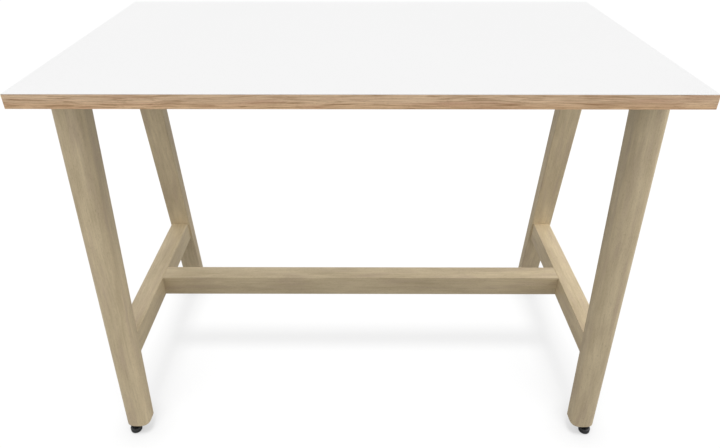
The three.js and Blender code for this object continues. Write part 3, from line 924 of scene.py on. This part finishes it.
def centre_fasteners(side):
    """The bolt, its barrel nut, and the wood plug over its head, at one end of the stretcher."""
    sign = SIDES[side]
    node = f"centre_bolt_{side}"
    low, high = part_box(node)
    z = middle(node).z
    length = high.x - low.x - BOLT_HEAD_HEIGHT
    tip = low.x if sign > 0 else high.x
    seat = tip + sign * length
    profile = socket_screw(
        head_radius=6.5 * MM, head_height=BOLT_HEAD_HEIGHT, socket=3.4 * MM, socket_depth=4 * MM,
        radius=BOLT_RADIUS, length=length, thread_start=length - BOLT_THREAD_LENGTH,
        thread_depth=0.6 * MM, pitch=BOLT_PITCH, tip_taper=0.8 * MM,
    )
    turned(f"centre_bolt.{side}", profile, node, (seat, 0, z), (-sign, 0, 0),
           ZINC_STEEL)

    node = f"barrel_nut_{side}"
    low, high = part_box(node)
    centre = middle(node)
    radius = (high.x - low.x) / 2
    half = (high.z - low.z) / 2
    profile = [(0, -half), (radius - NUT_EASING, -half), (radius, NUT_EASING - half)]
    profile += [(radius, half - NUT_EASING), (radius - NUT_EASING, half), (0, half)]
    nut = turned(f"barrel_nut.{side}", profile, node, centre, (0, 0, 1), ZINC_STEEL)
    across = Vector((radius + MM, 0, 0))
    slot = block(centre - Vector((radius + MM, NUT_SLOT / 2, half + MM)),
                 centre + Vector((radius + MM, NUT_SLOT / 2, NUT_SLOT - half)))
    drill(nut, [rod(centre - across, centre + across, BOLT_HOLE_RADIUS), slot])

    node = f"bolt_plug_{side}"
    low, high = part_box(node)
    radius = (high.z - low.z) / 2
    thickness = high.x - low.x
    face = high.x if sign > 0 else low.x
    profile = [
        (0, -thickness),
        (radius - PLUG_EASING, -thickness),
        (radius, PLUG_EASING - thickness),
    ]
    profile += arc((radius - PLUG_EASING, -PLUG_EASING), PLUG_EASING, 0, 90, 4)
    profile.append((0, 0))
    turned(f"bolt_plug.{side}", profile, node, (face, 0, z), (sign, 0, 0),
           FRAME_WOOD, grain=(0, 1, 0))


def top_screw(side, spot):
    node = f"top_screw_{side}_{spot}"
    low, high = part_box(node)
    x, y = middle(node).xy
    seat = low.z + SCREW_HEAD_HEIGHT
    length = high.z - seat
    profile = socket_screw(
        head_radius=5.2 * MM, head_height=SCREW_HEAD_HEIGHT, socket=2.2 * MM, socket_depth=2 * MM,
        radius=SCREW_RADIUS, length=length, thread_start=0.3 * length,
        thread_depth=0.75 * MM, pitch=SCREW_PITCH, tip_taper=1.7 * MM,
    )
    turned(f"top_screw.{side}.{spot}", profile, node, (x, y, seat), (0, 0, 1),
           ZINC_STEEL)


# ---- Levelling feet ------------------------------------------------------------------------


def foot_pad(end, side):
    """The swivel pad: hollow and rounded at the floor, with a sloping shoulder, a nearly flat top,
    and a socket for the ball."""
    node = f"foot_pad_{end}_{side}"
    low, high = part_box(node)
    radius = (high.x - low.x) / 2
    height = high.z
    r = PAD_EDGE_RADIUS
    socket = BALL_RADIUS + SOCKET_GAP
    mouth = NECK_RADIUS + SOCKET_GAP
    mouth_angle = math.degrees(math.acos(mouth / socket))
    profile = [(0, PAD_HOLLOW_DEPTH), (PAD_HOLLOW_RADIUS, PAD_HOLLOW_DEPTH)]
    profile.append((PAD_HOLLOW_RADIUS + PAD_HOLLOW_DEPTH, 0))
    profile += arc((radius - r, r), r, -90, 0, 8)
    profile += arc((radius - SHOULDER_RADIUS, height - SHOULDER_DROP), SHOULDER_RADIUS, 0, 78, 6)
    profile += arc((PAD_TOP_RADIUS, height - PAD_TOP_EASING), PAD_TOP_EASING, 90, 130, 2)
    profile += arc((mouth + LIP_RADIUS, height - 0.1 * MM - LIP_RADIUS), LIP_RADIUS, 80, 180, 4)
    profile += arc((0, BALL_CENTRE), socket, mouth_angle, -84, 12)
    profile.append((0, BALL_CENTRE - socket))
    x, y = middle(node).xy
    turned(f"foot_pad.{end}.{side}", profile, node, (x, y, 0), (0, 0, 1),
           BLACK_NYLON, 96)


def foot_stud(end, side):
    """The stud: a ball and neck, a chamfered hex collar, an undercut, and an M10 thread."""
    node = f"foot_stud_{end}_{side}"
    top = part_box(node)[1].z
    neck_angle = math.degrees(math.acos(NECK_RADIUS / BALL_RADIUS))
    profile = [(0, BALL_CENTRE - BALL_RADIUS)]
    profile += arc((0, BALL_CENTRE), BALL_RADIUS, -80, neck_angle, 12)
    profile.append((NECK_RADIUS, COLLAR_BOTTOM))
    profile += hex_collar()
    thread_start = COLLAR_TOP + UNDERCUT_HEIGHT
    profile += [(UNDERCUT_RADIUS, COLLAR_TOP), (UNDERCUT_RADIUS, thread_start)]
    profile += thread(thread_start, top, STUD_RADIUS, STUD_THREAD_DEPTH, STUD_PITCH,
                      STUD_TIP_TAPER)
    profile.append((0, top))
    x, y = middle(node).xy
    turned(f"foot_stud.{end}.{side}", profile, node, (x, y, 0), (0, 0, 1),
           BLACK_STEEL)


def hex_collar():
    """Profile entries of the stud's collar: a hexagon whose corners are cut by a cone at both
    faces."""
    apothem = COLLAR_RADIUS * math.cos(math.pi / 6)
    drop = (COLLAR_RADIUS - apothem) * math.tan(math.radians(30))
    cuts = [(lerp(apothem * 0.98, COLLAR_RADIUS, k / EASING_STEPS), drop * k / EASING_STEPS)
            for k in range(EASING_STEPS + 1)]
    rising = [(hexagon(COLLAR_RADIUS, limit), COLLAR_BOTTOM + inset) for limit, inset in cuts]
    falling = [(hexagon(COLLAR_RADIUS, limit), COLLAR_TOP - inset) for limit, inset in cuts[::-1]]
    return rising + falling


def foot_insert(end, side):
    """The threaded insert: a smooth bore, a coarse outer thread and a slot for its driver."""
    node = f"foot_insert_{end}_{side}"
    low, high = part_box(node)
    x, y = middle(node).xy
    radius = (high.x - low.x) / 2
    length = high.z - low.z
    bore = STUD_RADIUS + INSERT_BORE_GAP
    mouth = bore + INSERT_EASING
    profile = [(mouth, 0), (radius - 0.3 * MM, 0), (radius, 0.3 * MM), (radius, 1.2 * MM)]
    profile += thread(1.4 * MM, length - 0.4 * MM, radius, INSERT_THREAD_DEPTH, INSERT_PITCH,
                      INSERT_TIP_TAPER)
    profile += [(mouth, length), (bore, length - INSERT_EASING), (bore, INSERT_EASING)]
    profile.append(profile[0])
    insert = turned(f"foot_insert.{end}.{side}", profile, node, (x, y, low.z), (0, 0, 1),
                    ZINC_STEEL)
    centre = Vector((x, y, low.z))
    slot = block(centre - Vector((radius + MM, INSERT_SLOT / 2, MM)),
                 centre + Vector((radius + MM, INSERT_SLOT / 2, INSERT_SLOT)))
    drill(insert, [slot])


def build_feet():
    for end, side in CORNERS:
        foot_pad(end, side)
        foot_stud(end, side)
        foot_insert(end, side)


# ---- Finishes of the CAD pieces that stay ---------------------------------------------------


def finish_cad_pieces():
    for node, material in (("top_core", CORE_BOARD), ("backing_laminate", BACKING_LAMINATE)):
        mesh = frame["nodes"][node].data
        mesh.materials.clear()
        mesh.materials.append(material)


# ---- Stage ---------------------------------------------------------------------------------


def build_floor():
    """A white floor that mostly glows, so that only close shadows show on it, with a painted shade
    where something stands on it. It can be seen through from below."""
    ends = (-FLOOR_REACH, FLOOR_REACH)
    points = [Vector((x, y, 0)) for y in ends for x in ends]
    floor = make_object("floor", points, [(0, 1, 3, 2)])
    floor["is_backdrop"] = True
    g = Graph("floor")
    speckle = g.noise(g.stretch((2.0, 2.0, 2.0)), detail=3.0)
    colour = g.mix(g.math("MULTIPLY", speckle, 0.1), (0.1, 0.1, 0.1, 1), (0.09, 0.09, 0.09, 1))
    diffuse = g.node("ShaderNodeBsdfDiffuse", {"Color": colour}).outputs[0]
    # The glow dims where something is near: a painted contact shadow round the feet.
    nearby = g.node("ShaderNodeAmbientOcclusion", {"Distance": CONTACT_REACH}, samples=8)
    strength = g.math("MULTIPLY_ADD", nearby.outputs["AO"], FLOOR_GLOW * CONTACT_SHADE,
                      FLOOR_GLOW * (1 - CONTACT_SHADE))
    glow = g.node("ShaderNodeEmission", {"Color": (1, 1, 1, 1), "Strength": strength}).outputs[0]
    seen = g.node("ShaderNodeAddShader", {0: diffuse, 1: glow}).outputs[0]
    bounce = g.node("ShaderNodeBsdfDiffuse", {"Color": FLOOR_BOUNCE}).outputs[0]
    looked_at = g.node("ShaderNodeLightPath").outputs["Is Camera Ray"]
    lit = g.node("ShaderNodeMixShader", {0: looked_at, 1: bounce, 2: seen}).outputs[0]
    clear = g.node("ShaderNodeBsdfTransparent").outputs[0]
    back = g.node("ShaderNodeNewGeometry").outputs["Backfacing"]
    shown = g.node("ShaderNodeMixShader", {0: back, 1: lit, 2: clear}).outputs[0]
    g.tree.links.new(shown, g.output.inputs[0])
    floor.data.materials.append(g.material)
    return floor


def keep_under_feet(floor):
    """Keeps the floor under the foot that reaches lowest, however far the feet are screwed out."""
    lowest = floor.driver_add("location", 2).driver
    lowest.type = "MIN"
    for end, side in CORNERS:
        height = lowest.variables.new()
        height.name = f"{end}_{side}"
        height.type = "TRANSFORMS"
        height.targets[0].id = frame["bodies"][f"pad_{end}_{side}"]
        height.targets[0].transform_type = "LOC_Z"


def build_world():
    world = bpy.data.worlds.new("studio")
    bpy.context.scene.world = world
    world.use_nodes = True
    tree = world.node_tree
    background = tree.nodes["Background"]
    background.inputs["Color"].default_value = (1, 1, 1, 1)
    path = tree.nodes.new("ShaderNodeLightPath")
    choose = tree.nodes.new("ShaderNodeMix")
    choose.inputs[2].default_value = WORLD_LIGHT
    choose.inputs[3].default_value = WORLD_SEEN
    tree.links.new(path.outputs["Is Camera Ray"], choose.inputs[0])
    tree.links.new(choose.outputs[0], background.inputs["Strength"])


def collection_of(name, objects):
    group = bpy.data.collections.new(name)
    for obj in objects:
        group.objects.link(obj)
    return group


def light_of(kind, name, power, aim, place=(0, 0, 0)):
    """A light at a place that shines along aim."""
    light = bpy.data.lights.new(name, kind)
    light.energy = power
    obj = bpy.data.objects.new(name, light)
    bpy.context.scene.collection.objects.link(obj)
    obj.location = place
    obj.rotation_mode = "QUATERNION"
    obj.rotation_quaternion = aim.to_track_quat("-Z", "Y")
    return obj


def lamp(name, place, power):
    """A round soft light aimed at the table."""
    obj = light_of("AREA", name, power, Vector(LAMP_TARGET) - Vector(place), place)
    obj.data.shape = "DISK"
    obj.data.size = LAMP_SIZE
    return obj


def sun(name, power):
    """Even light from above, a little from the front."""
    tilt = math.tan(math.radians(SUN_TILT))
    obj = light_of("SUN", name, power, Vector((0, tilt, -1)))
    obj.data.angle = math.radians(SUN_WIDTH)
    return obj


def build_lights(floor):
    """Light from above for the tabletop, light from above that draws the underframe's shadow on
    the floor, and a soft light on either side for everything else."""
    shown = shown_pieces()
    tabletop = [o for o in shown if o.name == "top.laminate"]
    below = [o for o in shown if o not in tabletop]
    underframe = [o for o in below if o.name.startswith(("leg", "foot", "stretcher"))]

    overhead = sun("overhead", OVERHEAD_POWER)
    overhead.light_linking.receiver_collection = collection_of("tabletop", tabletop)
    shadow = sun("shadow", SHADOW_POWER)
    shadow.light_linking.blocker_collection = collection_of("underframe", underframe)
    shadow.light_linking.receiver_collection = collection_of("ground", [floor])
    for name, (place, power) in LAMPS.items():
        lamp(name, place, power).light_linking.receiver_collection = collection_of(name, below)


def build_camera():
    """A camera in front of the table, a little above it, looking down on it."""
    data = bpy.data.cameras.new("camera")
    data.sensor_width = 36
    data.lens = CAMERA_LENS
    data.shift_y = CAMERA_SHIFT
    camera = bpy.data.objects.new("camera", data)
    bpy.context.scene.collection.objects.link(camera)
    camera.location = CAMERA_PLACE
    camera.rotation_euler = (math.pi / 2 - CAMERA_DIP, 0, CAMERA_TURN)
    bpy.context.scene.camera = camera


# ---- Assembly ------------------------------------------------------------------------------
# The number given for a wooden piece picks its part of the wood's pattern.

for index, (end_name, side_name) in enumerate(CORNERS):
    leg(end_name, side_name, 0.13 + 0.21 * index)
for index, side_name in enumerate(SIDES):
    side_stretcher(side_name, 0.27 + 0.4 * index)
    top_rail(side_name, 0.35 + 0.3 * index)
    centre_fasteners(side_name)
    for spot_name in SCREW_SPOTS:
        top_screw(side_name, spot_name)
centre_stretcher(0.52)
dowels()
build_top()
build_feet()
finish_cad_pieces()
ground = build_floor()
keep_under_feet(ground)
build_world()
build_lights(ground)
build_camera()
bpy.context.scene.view_settings.view_transform = "Standard"
